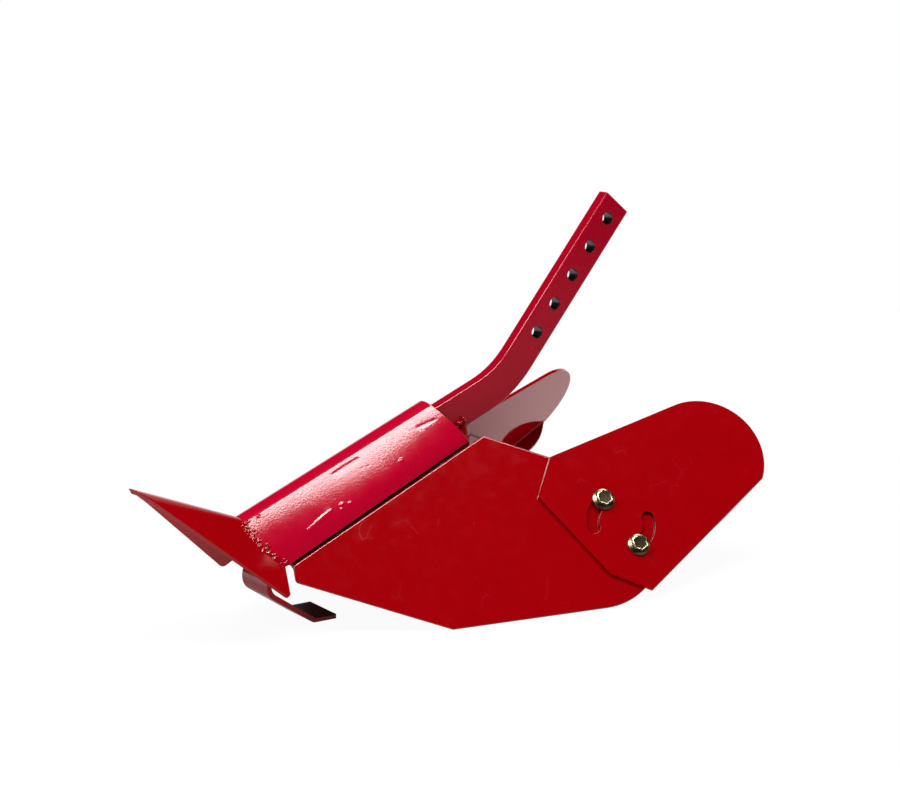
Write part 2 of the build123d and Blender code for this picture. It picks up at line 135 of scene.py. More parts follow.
# Runs, lumps and dents in the nose's paint: two ends by run down the leg and offset, radius and height
NOSE_MARKS = (
    ((0.2277, 0.0296), (0.2042, 0.0281), 0.0032, 0.0005),
    ((0.1935, 0.0285), (0.1922, 0.0285), 0.0024, 0.0005),
    ((0.1867, 0.0302), (0.1860, 0.0302), 0.0022, 0.0006),
    ((0.1954, 0.0302), (0.1945, 0.0302), 0.0020, 0.0005),
    ((0.1821, 0.0128), (0.1583, 0.0127), 0.0034, -0.0002),
    ((0.0980, 0.0160), (0.0830, 0.0172), 0.0034, -0.0002),
    ((0.1288, 0.0263), (0.1278, 0.0261), 0.0026, 0.0005),
    ((0.1598, 0.0184), (0.1595, 0.0184), 0.0012, -0.0002),
    ((0.1546, 0.0193), (0.1543, 0.0193), 0.0012, -0.0002),
    ((0.2547, 0.0099), (0.2543, 0.0099), 0.0018, 0.0007),
)
MARK_REACH = 0.0045
MARK_CUTS = 3

# Share: its ridge, its left face, and how its faces turn up towards the ridge
SHARE_RIDGE = Vector((0.906955, 0.0, 0.421227))
SHARE_REAR = Vector((0.134083, 0.0, 0.082557))
SHARE_FACE = Vector((-0.321869, 0.642788, 0.695144))
SHARE_LENGTH = 0.1385
SHARE_TURN = radians(15)
SHARE_FADE = (0.008, 0.018)
SHARE_SLICE = 0.0030
SHARE_STRIP = 0.0010

# Share weld: the ends of its seam on the left, its row of drops, and how their sizes spread
SEAM_HIGH = Vector((0.168885, 0.0085, 0.090811))
SEAM_LOW = Vector((0.14475, 0.034, 0.056057))
SEAM_REACH = 0.87
BEAD_SEEDS = {"left_share_weld": 15, "right_share_weld": 16}
BEAD_DROPS = 34
BEAD_RADIUS = 0.0015
BEAD_SIZES = (0.8, 1.15)
BEAD_VOXEL = 0.00035
BEAD_SMOOTH = 0.5
BEAD_LUMP = 0.00012
BEAD_LUMP_SCALE = 900.0
DROP_STEPS = 3

# Splashes beside the share weld: rows by rise on the nose, reach on the share and size, and how they spread
SPLASH_ROWS = ((0.0008, 0.0, 0.0025), (0.0036, 0.0, 0.0023), (0.0066, 0.0, 0.0016), (0.0, 0.0028, 0.0017))
SPLASH_DROPS = 13
SPLASH_SHIFTS = (-0.3, 0.3)
SPLASH_RISES = (0.7, 1.2)
SPLASH_REACHES = (0.6, 1.4)
SPLASH_SIZES = (0.7, 1.15)
SPLASH_WIDTHS = (0.7, 1.0)
SPLASH_FLAT = 0.5

# Other welds: lumps at the left gusset's end by place and radius, and the beads' uneven skin
GUSSET_LUMPS = ((Vector((-0.0395, 0.0085, 0.1362)), 0.0024), (Vector((-0.0445, 0.0085, 0.1392)), 0.0018))
WELD_LUMP = 0.0004
WELD_LUMP_SCALE = 520.0

# Shank: the way up it and out of its front, and its row of holes from the top
HOLE_FIRST = Vector((-0.207596, 0.0, 0.289254))
SHANK_UP = Vector((-0.676173, 0.0, 0.736743))
SHANK_FRONT = Vector((0.736743, 0.0, 0.676173))
HOLE_PITCH = 0.030
HOLE_COUNT = 5
HOLE_RADIUS = 0.0055
RIM_REACH = 0.0066

# Bolts: the collar's profile by radius and height, the hexagon with its dished top, and the threaded stem
BOLT_HEAD = 0.008
BOLT_STEPS = 48
BOLT_PROFILE = ((0.0, 0.0), (0.0090, 0.0), (0.00925, 0.0003), (0.00925, 0.0011), (0.0090, 0.0014),
                (0.0074, 0.0022), (0.0070, 0.0026), (0.0, 0.0026))
HEX_SIDES = 6
HEX_RADIUS = 0.0075
HEX_BASE = 0.0014
HEX_TOP = 0.0062
HEX_LEVEL = 0.99
HEX_CHAMFER = 0.0008
HEX_CHAMFER_STEPS = 2
HEX_DISH = ((0.0005, 0.0), (0.0003, -0.0005), (0.0002, -0.0002))
STEM_RADIUS = 0.00395
STEM_LOW = 0.0198
STEM_STEPS = 24
THREAD_PITCH = 0.00125
THREAD_DEPTH = 0.0006
THREAD_TURNS = 9

# Paint and plating: peel height and scale, wave height, roughness and its spread
WING_SKIN = (0.000006, 500.0, 0.00003, 0.05, 0.04)
NOSE_SKIN = (0.000062, 820.0, 0.00004, 0.14, 0.04)
SHANK_SKIN = (0.000001, 500.0, 0.00001, 0.15, 0.03)
ZINC_SKIN = (0.000008, 900.0, 0.00001, 0.24, 0.10)
PEEL_DETAIL = 0.0
PEEL_ROUGHNESS = 0.5
CLOUD_RANGE = (0.3, 0.7)
CLOUD_TONES = (0.985, 1.015)
SMEAR_RANGE = (0.35, 0.75)
ZINC_RANGE = (0.35, 0.65)

# Noise over the paint: scale, detail and roughness
WAVE_GRAIN = (60.0, 1.0, 0.5)
CLOUD_GRAIN = (22.0, 3.0, 0.5)
SMEAR_GRAIN = (90.0, 4.0, 0.6)
SCRATCH_GRAIN = (45.0, 3.0, 0.5)
FLAKE_GRAIN = (160.0, 4.0, 0.6)
PATCH_GRAIN = (420.0, 3.0, 0.5)
HOLE_GRAIN = (500.0, 2.0, 0.5)
ZINC_GRAIN = (260.0, 3.0, 0.5)

# Scratches: how their lines run, and how much of them shows on the wings
SCRATCH_SCALE = 60.0
SCRATCH_WIDTH = 0.004
SCRATCH_COVER = 0.62
SCRATCH_BEND = 14.0
SCRATCH_SWAY = 0.03
SCUFF_SHARE = 0.28
SCUFF_ROUGHNESS = 0.35

# Bare steel: chips by how much paint stays, patches by place and reach, and ragged paint in the holes
CHIP_COVER = 0.70
NOSE_COVER = 0.95
CHIP_ROUGHNESS = 0.4
SHANK_PATCH = (Vector((-0.0409, 0.006, 0.1597)), 0.0028)
NOSE_PATCH = (Vector((-0.0149, 0.0086, 0.1556)), 0.0035)
PATCH_ARRIS = 0.45
PATCH_ROUGHNESS = 0.45
HOLE_BARE = 0.00015
HOLE_RAGGED = 0.0005
HOLE_ROUGHNESS = 0.38

# Painted shade: dark, rough paint laid where shade falls, in the slots, inside the skid's end, on the
# gussets and on the seam beads behind the nose's gap
SHADE_TONE = 0.12
SHADE_ROUGHNESS = 0.45
GUSSET_SHADE = 0.6
SEAM_SHADE = 0.75

# Colours, linear. The reds are one enamel: the nose's and the shank's are set lighter than the wings' as
# painted light, to match how bright those parts show
WING_RED = (0.26, 0.0001, 0.002)
NOSE_LIT_RED = (0.378, 0.0001, 0.017)
SHANK_LIT_RED = (0.305, 0.0004, 0.011)
SCUFF_PINK = (0.52, 0.03, 0.07)
ZINC_GREY = (0.40, 0.36, 0.27)
ZINC_YELLOW = (0.46, 0.37, 0.18)
# Painted shade for the bolts' dished tops
ZINC_PAINTED_SHADE = (0.055, 0.045, 0.025)
STEEL_BARE = (0.13, 0.095, 0.095)
STEEL_CHIP = (0.42, 0.40, 0.38)

# The Mix node's colour sockets
MIX_FIRST = 6
MIX_SECOND = 7
MIX_RESULT = 2


def add_node(tree, kind, **settings):
    """A shader node with its settings."""
    node = tree.nodes.new(kind)
    for name, value in settings.items():
        setattr(node, name, value)
    return node


def feed(tree, socket, value):
    """Links a node's output to a socket, or sets a plain value on it."""
    if isinstance(value, bpy.types.NodeSocket):
        tree.links.new(value, socket)
    else:
        socket.default_value = value


def calc(tree, operation, *values):
    """The output of a Math node."""
    node = add_node(tree, "ShaderNodeMath", operation=operation)
    for socket, value in zip(node.inputs, values):
        feed(tree, socket, value)
    return node.outputs[0]


def measure(tree, point, direction):
    """How far a point lies along a direction."""
    node = add_node(tree, "ShaderNodeVectorMath", operation="DOT_PRODUCT")
    feed(tree, node.inputs[0], point)
    feed(tree, node.inputs[1], direction)
    return node.outputs["Value"]


def ramp(tree, value, low, high, bottom=0.0, top=1.0):
    """A smooth step of a value between two levels."""
    node = add_node(tree, "ShaderNodeMapRange", interpolation_type="SMOOTHSTEP")
    names = ("Value", "From Min", "From Max", "To Min", "To Max")
    for name, given in zip(names, (value, low, high, bottom, top)):
        feed(tree, node.inputs[name], given)
    return node.outputs["Result"]


def blend_colours(tree, share, first, second):
    """One colour turning into another by a share."""
    node = add_node(tree, "ShaderNodeMix", data_type="RGBA")
    feed(tree, node.inputs["Factor"], share)
    for socket, value in ((MIX_FIRST, first), (MIX_SECOND, second)):
        if isinstance(value, tuple):
            value = (*value, 1.0)
        feed(tree, node.inputs[socket], value)
    return node.outputs[MIX_RESULT]


def grain(tree, point, scale, detail, roughness):
    """A noise value over the surface."""
    node = add_node(tree, "ShaderNodeTexNoise")
    for name, value in (("Vector", point), ("Scale", scale), ("Detail", detail), ("Roughness", roughness)):
        feed(tree, node.inputs[name], value)
    return node.outputs["Fac"]


def surface_point(tree):
    """The place on a piece's surface."""
    return add_node(tree, "ShaderNodeTexCoord").outputs["Object"]


def surface_mark(tree, name):
    """A value marked on a piece's vertices."""
    return add_node(tree, "ShaderNodeAttribute", attribute_name=name).outputs["Fac"]


def new_group(name, inputs, outputs):
    """An empty shader node group with float inputs and outputs, and its ends."""
    tree = bpy.data.node_groups.new(name, "ShaderNodeTree")
    for label in inputs:
        tree.interface.new_socket(label, in_out="INPUT", socket_type="NodeSocketFloat")
    for label in outputs:
        tree.interface.new_socket(label, in_out="OUTPUT", socket_type="NodeSocketFloat")
    return tree, add_node(tree, "NodeGroupInput"), add_node(tree, "NodeGroupOutput")


def place_group(tree, group, **values):
    """A group placed in a material with its own values."""
    node = add_node(tree, "ShaderNodeGroup", node_tree=group)
    for name, value in values.items():
        feed(tree, node.inputs[name.replace("_", " ")], value)
    return node.outputs


def paint_skin_group():
    """Orange peel, slow waves, shade and gloss of a sprayed paint skin."""
    tree, start, end = new_group("paint_skin", ("Peel", "Peel Scale", "Wave"), ("Height", "Shade", "Gloss"))
    point = surface_point(tree)
    peel = grain(tree, point, start.outputs["Peel Scale"], PEEL_DETAIL, PEEL_ROUGHNESS)
    wave = grain(tree, point, *WAVE_GRAIN)
    height = calc(tree, "MULTIPLY_ADD", peel, start.outputs["Peel"],
                  calc(tree, "MULTIPLY", wave, start.outputs["Wave"]))
    feed(tree, end.inputs["Height"], height)
    cloud = grain(tree, point, *CLOUD_GRAIN)
    feed(tree, end.inputs["Shade"], ramp(tree, cloud, *CLOUD_RANGE, *CLOUD_TONES))
    smear = grain(tree, point, *SMEAR_GRAIN)
    feed(tree, end.inputs["Gloss"], ramp(tree, smear, *SMEAR_RANGE))
    return tree


def scratch_group():
    """Thin broken scratches."""
    tree, start, end = new_group("scratches", ("Scale", "Width", "Cover"), ("Mask",))
    point = surface_point(tree)
    bend = add_node(tree, "ShaderNodeTexNoise")
    feed(tree, bend.inputs["Vector"], point)
    bend.inputs["Scale"].default_value = SCRATCH_BEND
    warp = add_node(tree, "ShaderNodeVectorMath", operation="MULTIPLY_ADD")
    feed(tree, warp.inputs[0], bend.outputs["Color"])
    warp.inputs[1].default_value = (SCRATCH_SWAY,) * 3
    feed(tree, warp.inputs[2], point)
    cells = add_node(tree, "ShaderNodeTexVoronoi", feature="DISTANCE_TO_EDGE")
    feed(tree, cells.inputs["Vector"], warp.outputs[0])
    feed(tree, cells.inputs["Scale"], start.outputs["Scale"])
    line = calc(tree, "LESS_THAN", cells.outputs["Distance"], start.outputs["Width"])
    cover = calc(tree, "GREATER_THAN", grain(tree, point, *SCRATCH_GRAIN), start.outputs["Cover"])
    feed(tree, end.inputs["Mask"], calc(tree, "MULTIPLY", line, cover))
    return tree


def new_material(name):
    """A node material, with its tree and its Principled shader."""
    material = bpy.data.materials.new(name)
    material.use_nodes = True
    return material, material.node_tree, material.node_tree.nodes["Principled BSDF"]


def tinted(tree, colour, shade):
    """A colour made lighter or darker by a value over the surface."""
    node = add_node(tree, "ShaderNodeVectorMath", operation="SCALE")
    node.inputs[0].default_value = colour
    feed(tree, node.inputs["Scale"], shade)
    return node.outputs[0]


def chip_group():
    """Bare chips on worn arrises."""
    tree, start, end = new_group("edge_chips", ("Cover",), ("Mask",))
    arris = surface_mark(tree, "arris")
    flake = grain(tree, surface_point(tree), *FLAKE_GRAIN)
    worn = calc(tree, "GREATER_THAN", calc(tree, "MULTIPLY", arris, flake), start.outputs["Cover"])
    feed(tree, end.inputs["Mask"], worn)
    return tree


def lay_over(tree, shader, socket, share, value):
    """Lays a value over what a shader's socket has, by a share."""
    target = shader.inputs[socket]
    below = target.links[0].from_socket if target.links else target.default_value
    if socket == "Base Color":
        result = blend_colours(tree, share, below, value)
    else:
        mix = add_node(tree, "ShaderNodeMix", data_type="FLOAT")
        for name, given in (("Factor", share), ("A", below), ("B", value)):
            feed(tree, mix.inputs[name], given)
        result = mix.outputs["Result"]
    feed(tree, target, result)


def lay_steel(tree, shader, share, colour, roughness):
    """Lays bare steel over a shader's paint, by a share."""
    lay_over(tree, shader, "Base Color", share, colour)
    lay_over(tree, shader, "Roughness", share, roughness)
    lay_over(tree, shader, "Metallic", share, 1.0)


def lay_skin(tree, shader, group, skin):
    """Gives a shader the bump and gloss of a paint skin, and gives back the skin's shade."""
    peel, peel_scale, wave, roughness, spread = skin
    coat = place_group(tree, group, Peel=peel, Peel_Scale=peel_scale, Wave=wave)
    feed(tree, shader.inputs["Roughness"], calc(tree, "MULTIPLY_ADD", coat["Gloss"], spread, roughness))
    bump = add_node(tree, "ShaderNodeBump")
    bump.inputs["Strength"].default_value = 1.0
    bump.inputs["Distance"].default_value = 1.0
    feed(tree, bump.inputs["Height"], coat["Height"])
    feed(tree, shader.inputs["Normal"], bump.outputs["Normal"])
    return coat["Shade"]


def red_enamel(name, colour, skin, groups, scuffs=0.0, cover=CHIP_COVER):
    """Glossy red enamel with its own colour, skin, scuffs and chipped edges, and painted shade where the
    shade mark is set.
    """
    paint_skin, scratches, chips = groups
    material, tree, shader = new_material(name)
    # Painted shade: the shade mark darkens the red and makes it rough.
    painted_shade = surface_mark(tree, "shade")
    tone = ramp(tree, painted_shade, 0.0, 1.0, 1.0, SHADE_TONE)
    shade = calc(tree, "MULTIPLY", lay_skin(tree, shader, paint_skin, skin), tone)
    feed(tree, shader.inputs["Base Color"], tinted(tree, colour, shade))
    lay_over(tree, shader, "Roughness", painted_shade, SHADE_ROUGHNESS)
    if scuffs:
        lines = place_group(tree, scratches, Scale=SCRATCH_SCALE, Width=SCRATCH_WIDTH, Cover=SCRATCH_COVER)
        scuff = calc(tree, "MULTIPLY", lines["Mask"], scuffs)
        lay_over(tree, shader, "Base Color", scuff, SCUFF_PINK)
        lay_over(tree, shader, "Roughness", scuff, SCUFF_ROUGHNESS)
    lay_steel(tree, shader, place_group(tree, chips, Cover=cover)["Mask"], STEEL_CHIP, CHIP_ROUGHNESS)
    return material


def bare_patch(material, place, reach):
    """Adds a bare patch of steel on the arris at a place in a material's paint."""
    tree = material.node_tree
    shader = tree.nodes["Principled BSDF"]
    point = surface_point(tree)
    away = add_node(tree, "ShaderNodeVectorMath", operation="DISTANCE")
    feed(tree, away.inputs[0], point)
    away.inputs[1].default_value = place
    ragged = calc(tree, "MULTIPLY_ADD", grain(tree, point, *PATCH_GRAIN), reach, -reach / 2)
    near = calc(tree, "LESS_THAN", calc(tree, "ADD", away.outputs["Value"], ragged), reach)
    worn = calc(tree, "GREATER_THAN", surface_mark(tree, "arris"), PATCH_ARRIS)
    lay_steel(tree, shader, calc(tree, "MULTIPLY", near, worn), STEEL_CHIP, PATCH_ROUGHNESS)


def shank_lit_enamel(groups):
    """Red enamel on the shank, set lighter than the wings' red as painted light, with bare steel inside the
    drilled holes.
    """
    material = red_enamel("shank_lit_enamel", SHANK_LIT_RED, SHANK_SKIN, groups)
    tree = material.node_tree
    shader = tree.nodes["Principled BSDF"]
    point = surface_point(tree)
    away = add_node(tree, "ShaderNodeVectorMath", operation="SUBTRACT")
    feed(tree, away.inputs[0], point)
    away.inputs[1].default_value = HOLE_FIRST
    up = measure(tree, away.outputs[0], SHANK_UP)
    along = calc(tree, "PINGPONG", up, HOLE_PITCH / 2)
    across = measure(tree, away.outputs[0], SHANK_FRONT)
    squares = [calc(tree, "POWER", length, 2.0) for length in (along, across)]
    reach = calc(tree, "SQRT", calc(tree, "ADD", *squares))
    ragged = calc(tree, "MULTIPLY_ADD", grain(tree, point, *HOLE_GRAIN), HOLE_RAGGED, -HOLE_RAGGED / 2)
    inside = calc(tree, "LESS_THAN", calc(tree, "ADD", reach, ragged), HOLE_RADIUS + HOLE_BARE)
    in_row = calc(tree, "GREATER_THAN", up, (0.5 - HOLE_COUNT) * HOLE_PITCH)
    lay_steel(tree, shader, calc(tree, "MULTIPLY", inside, in_row), STEEL_BARE, HOLE_ROUGHNESS)
    bare_patch(material, *SHANK_PATCH)
    return material


def zinc_steel(paint_skin):
    """Zinc plated steel with yellow and grey patches, and painted shade where the shade mark is set."""
    material, tree, shader = new_material("zinc_plate")
    lay_skin(tree, shader, paint_skin, ZINC_SKIN)
    patch = ramp(tree, grain(tree, surface_point(tree), *ZINC_GRAIN), *ZINC_RANGE)
    feed(tree, shader.inputs["Base Color"], blend_colours(tree, patch, ZINC_GREY, ZINC_YELLOW))
    # Painted shade: the shade mark turns the zinc dark.
    lay_over(tree, shader, "Base Color", surface_mark(tree, "shade"), ZINC_PAINTED_SHADE)
    shader.inputs["Metallic"].default_value = 1.0
    return material


def solid_copy(node):
    """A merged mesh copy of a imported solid, with its flat faces made whole."""
    bm = bmesh.new()
    bm.from_mesh(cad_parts[node].data)
    bmesh.ops.remove_doubles(bm, verts=bm.verts, dist=MERGE)
    bmesh.ops.dissolve_limit(bm, angle_limit=FLAT_ANGLE, verts=bm.verts, edges=bm.edges)
    for name in ("arris", "shade"):
        bm.verts.layers.float.new(name)
    return bm


def sharp_edges(bm):
    """Every sharp edge of a mesh."""
    return [edge for edge in bm.edges if edge.is_manifold and edge.calc_face_angle() > SHARP_ANGLE]


def mark_painted_shade(bm, vertices, amount=1.0):
    """Marks vertices for painted shade, where the paint is made dark and rough."""
    shade = bm.verts.layers.float["shade"]
    for vertex in vertices:
        vertex[shade] = amount


def round_edges(bm, width, edges=None):
    """Rounds a mesh's sharp edges, or only the given ones, marks the new arrises and gives them back."""
    arris = bm.verts.layers.float["arris"]
    edges = sharp_edges(bm) if edges is None else edges
    made = bmesh.ops.bevel(bm, geom=edges, offset=width, offset_type="OFFSET", affect="EDGES",
                           segments=ROUND_STEPS, profile=0.5, material=-1, clamp_overlap=True)
    new_faces = set(made["faces"])
    inner = [vertex for vertex in made["verts"] if all(face in new_faces for face in vertex.link_faces)]
    for vertex in inner:
        vertex[arris] = 1.0
    return inner


def roll_face(bm, outward):
    """Lets the edges of a plate's outer face fall away as sheared edges do."""
    height = max(vertex.co.dot(outward) for vertex in bm.verts)
    outer = [face for face in bm.faces if face.normal.dot(outward) > ROLL_FACING
             and height - face.calc_center_median().dot(outward) < ROLL_DEPTH]
    for vertex in {vertex for face in outer for vertex in face.verts}:
        vertex.co -= outward * sum(ROLL_RISES)
    for width, rise in zip(ROLL_WIDTHS, ROLL_RISES):
        bmesh.ops.inset_region(bm, faces=outer, thickness=width, depth=rise, use_boundary=True,
                               use_even_offset=True)


def finish_piece(bm, node, body, material):
    """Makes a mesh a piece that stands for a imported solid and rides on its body."""
    for face in bm.faces:
        face.smooth = True
    mesh = bpy.data.meshes.new(node + "_made")
    bm.to_mesh(mesh)
    bm.free()
    mesh.materials.append(material)
    piece = bpy.data.objects.new(node + "_made", mesh)
    bpy.context.scene.collection.objects.link(piece)
    level = piece.modifiers.new("level faces", "WEIGHTED_NORMAL")
    level.keep_sharp = True
    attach(piece, body)
    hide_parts(node)


def rounded_piece(node, material, width, shade=0.0):
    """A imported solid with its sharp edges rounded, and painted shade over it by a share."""
    bm = solid_copy(node)
    round_edges(bm, width)
    mark_painted_shade(bm, bm.verts, shade)
    finish_piece(bm, node, "frame", material)


def on_side(vector, side):
    """A place or direction on the plough's left side, or its mirror on the right."""
    return Vector((vector.x, vector.y * side, vector.z))


def side_of(node):
    """A node's side: 1 on the left and -1 on the right."""
    return -1.0 if node.startswith("right") else 1.0


def mirrored_left(node, vector):
    """A place or direction on the plough's left side, or its mirror for a node on the right."""
    return on_side(vector, side_of(node))


def make_wing(node, material):
    """A flat wing with rolled outer edges."""
    bm = solid_copy(node)
    roll_face(bm, mirrored_left(node, WING_OUT))
    round_edges(bm, PLATE_ROUND)
    finish_piece(bm, node, "frame", material)


def in_slot(place, node):
    """Whether a place lies in the slotted ring round an extension's pivot."""
    away = place - mirrored_left(node, SWING_PLACE)
    outward = mirrored_left(node, WING_OUT)
    return (away - outward * away.dot(outward)).length < SLOT_REACH


def make_extension(node, material):
    """A slotted extension, with the inside of its lip's bend rounded and painted shade on its slots' walls.
    """
    outward = mirrored_left(node, WING_OUT)
    bm = solid_copy(node)
    hollow = [edge for edge in sharp_edges(bm) if edge.calc_face_angle_signed() < 0]
    round_edges(bm, LIP_ROUND, hollow)
    slots = [edge for edge in sharp_edges(bm) if all(in_slot(vertex.co, node) for vertex in edge.verts)]
    for vertex in round_edges(bm, SLOT_ROUND, slots):
        vertex[bm.verts.layers.float["arris"]] = 0.0
    # Painted shade on the slots' walls, dark and rough where the edge shadow falls.
    bm.normal_update()
    mark_painted_shade(bm, [vertex for vertex in bm.verts if in_slot(vertex.co, node)
                    and all(abs(face.normal.dot(outward)) < SLOT_FLAT for face in vertex.link_faces)])
    round_edges(bm, PLATE_ROUND)
    finish_piece(bm, node, node, material)


def make_skid(material):
    """The bent skid, a little lower at its front bend, with painted shade inside its turned-up end."""
    bm = solid_copy("rear_skid")
    round_edges(bm, PLATE_ROUND)
    for vertex in bm.verts:
        away = vertex.co - SKID_BEND
        forward = min(max(away.dot(SHANK_FRONT) / SKID_RUN, 0.0), 1.0)
        below = 1.0 - min(max(away.dot(SHANK_UP) / SKID_RISE, 0.0), 1.0)
        vertex.co -= SHANK_UP * SKID_SAG * forward * below
    # Painted shade on the upward faces inside the turned-up end, which lie in shadow under the plough.
    low = min(vertex.co.x for vertex in bm.verts)
    bm.normal_update()
    mark_painted_shade(bm, {vertex for face in bm.faces if face.normal.z > SKID_LEVEL for vertex in face.verts
                    if vertex.co.x < low + SKID_END})
    finish_piece(bm, "rear_skid", "frame", material)


def make_shank(material):
    """The drilled bar, with rounded arrises and finer rims at its holes."""
    bm = solid_copy("shank")
    rims = []
    for edge in sharp_edges(bm):
        away = (edge.verts[0].co + edge.verts[1].co) / 2 - HOLE_FIRST
        along = -away.dot(SHANK_UP)
        nearest = min(max(round(along / HOLE_PITCH), 0), HOLE_COUNT - 1) * HOLE_PITCH
        if Vector((along - nearest, away.dot(SHANK_FRONT))).length < RIM_REACH:
            rims.append(edge)
    arrises = [edge for edge in sharp_edges(bm) if edge not in rims]
    round_edges(bm, HOLE_ROUND, rims)
    round_edges(bm, BAR_ROUND, [edge for edge in arrises if edge.is_valid])
    finish_piece(bm, "shank", "frame", material)


def turn_at(turns, share):
    """How far the nose's face turns from flat at a share of its half width."""
    for (low, first), (high, second) in zip(turns, turns[1:]):
        if share <= high:
            return first + (second - first) * (share - low) / (high - low)
    return turns[-1][1]


def nose_swells(turns):
    """How far the nose's face stands out from flat, at even shares of its half width."""
    length = (NOSE_APEX + NOSE_REAR) * tan(NOSE_HALF_ANGLE) / sin(NOSE_HALF_ANGLE)
    swells = [0.0]
    for step in range(NOSE_STEPS):
        share = (step + 0.5) / NOSE_STEPS
        swells.append(swells[-1] + tan(radians(turn_at(turns, share))) * length / NOSE_STEPS)
    return swells


nose_middle = nose_swells(NOSE_MIDDLE_TURNS)
nose_end = nose_swells(NOSE_END_TURNS)


def nose_share(point):
    """A point's share of the nose's half width."""
    run = (point - LEG_START).dot(LEG_DOWN)
    half = (NOSE_APEX + NOSE_REAR + (run - NOSE_LEG) * NOSE_TAPER) * tan(NOSE_HALF_ANGLE)
    return min(abs(point.y) / half, 1.0)


def nose_swell(point):
    """How far the nose's face stands out from flat at a point."""
    place = nose_share(point) * NOSE_STEPS
    step = min(int(place), NOSE_STEPS - 1)
    part = place - step
    run = (point - LEG_START).dot(LEG_DOWN)
    off_middle = min(abs(2 * (run - NOSE_ENDS[0]) / (NOSE_ENDS[1] - NOSE_ENDS[0]) - 1), 1.0) ** 2
    middle = nose_middle[step] + (nose_middle[step + 1] - nose_middle[step]) * part
    end = nose_end[step] + (nose_end[step + 1] - nose_end[step]) * part
    return middle + (end - middle) * off_middle


def nose_normal(side):
    """The direction out of the nose's face on one side."""
    return LEG_FRONT * sin(NOSE_HALF_ANGLE) + Vector((0.0, side * cos(NOSE_HALF_ANGLE), 0.0))


def slice_mesh(bm, direction, step):
    """Cuts a mesh into even slices across a direction."""
    places = [vertex.co.dot(direction) for vertex in bm.verts]
    place = min(places) + step
    while place < max(places):
        bmesh.ops.bisect_plane(bm, geom=bm.verts[:] + bm.edges[:] + bm.faces[:], dist=MERGE,
                               plane_co=direction * place, plane_no=direction)
        place += step


def mark_gap(point, mark):
    """How far a point of the nose lies from a mark's line."""
    place = Vector(((point - LEG_START).dot(LEG_DOWN), point.y / sin(NOSE_HALF_ANGLE)))
    first, last = [Vector((run, offset / sin(NOSE_HALF_ANGLE))) for run, offset in mark[:2]]
    share = (place - first).dot(last - first) / (last - first).length_squared
    return (place - first.lerp(last, min(max(share, 0.0), 1.0))).length


def on_left_face(vertex):
    """Whether a vertex of the nose lies on the outside of its left face."""
    return vertex.co.y > 0 and vertex.normal.dot(nose_normal(1.0)) > NOSE_FACING


def mark_nose(bm):
    """Presses and raises the marks in the nose's left face, on finer faces there."""
    bm.normal_update()
    near = {vertex for vertex in bm.verts if on_left_face(vertex)
            and min(mark_gap(vertex.co, mark) for mark in NOSE_MARKS) < MARK_REACH}
    edges = [edge for edge in bm.edges if edge.verts[0] in near and edge.verts[1] in near]
    bmesh.ops.subdivide_edges(bm, edges=edges, cuts=MARK_CUTS, use_grid_fill=True)
    bm.normal_update()
    for vertex in [vertex for vertex in bm.verts if on_left_face(vertex)]:
        for mark in NOSE_MARKS:
            radius, height = mark[2:]
            share = mark_gap(vertex.co, mark) / radius
            if share < 1.0:
                vertex.co += nose_normal(1.0) * height * (1.0 - share ** 2) ** 2


def make_nose(material):
    """The breast plate, with its folded faces swelling out between the spine and their rear edges."""
    bm = solid_copy("breast_plate")
    round_edges(bm, PLATE_ROUND)
    slice_mesh(bm, LEG_DOWN, NOSE_SLICE)
    slice_mesh(bm, LEFT, NOSE_STRIP)
    for vertex in bm.verts:
        side = 1.0 if vertex.co.y > 0 else -1.0
        normal = nose_normal(side)
        face = on_side(SHARE_FACE, side)
        swell = nose_swell(vertex.co)
        fall = -LEG_DOWN.dot(face)
        height = (vertex.co - on_side(SEAM_HIGH, side)).dot(face) / fall
        slide = swell * normal.dot(face) / fall * (1.0 - min(max(height / NOSE_FOOT, 0.0), 1.0))
        vertex.co += normal * swell + LEG_DOWN * slide
    mark_nose(bm)
    finish_piece(bm, "breast_plate", "frame", material)


def make_share(material):
    """The folded share, with its faces turning up a little towards the ridge."""
    bm = solid_copy("share")
    round_edges(bm, PLATE_ROUND)
    slice_mesh(bm, SHARE_RIDGE, SHARE_SLICE)
    slice_mesh(bm, LEFT, SHARE_STRIP)
    for vertex in bm.verts:
        side = 1.0 if vertex.co.y > 0 else -1.0
        face = on_side(SHARE_FACE, side)
        run = (vertex.co - SHARE_REAR).dot(SHARE_RIDGE) / SHARE_LENGTH
        fade = SHARE_FADE[0] + (SHARE_FADE[1] - SHARE_FADE[0]) * min(max(run, 0.0), 1.0)
        slope = face.cross(SHARE_RIDGE).y
        reach = abs(vertex.co.y / slope)
        share = min(reach / fade, 1.0)
        vertex.co += face * (tan(SHARE_TURN) * fade * (share - share ** 2 / 2))
    finish_piece(bm, "share", "frame", material)


def seam_place(share, side):
    """A place on the seam between the swollen nose and the share."""
    point = SEAM_HIGH.lerp(SEAM_LOW, share)
    along = (SEAM_LOW - SEAM_HIGH).normalized()
    out = along.cross(SHARE_FACE)
    normal = nose_normal(1.0)
    if out.dot(normal) < 0:
        out = -out
    point = point + out * (nose_swell(point) / out.dot(normal))
    return on_side(point, side)


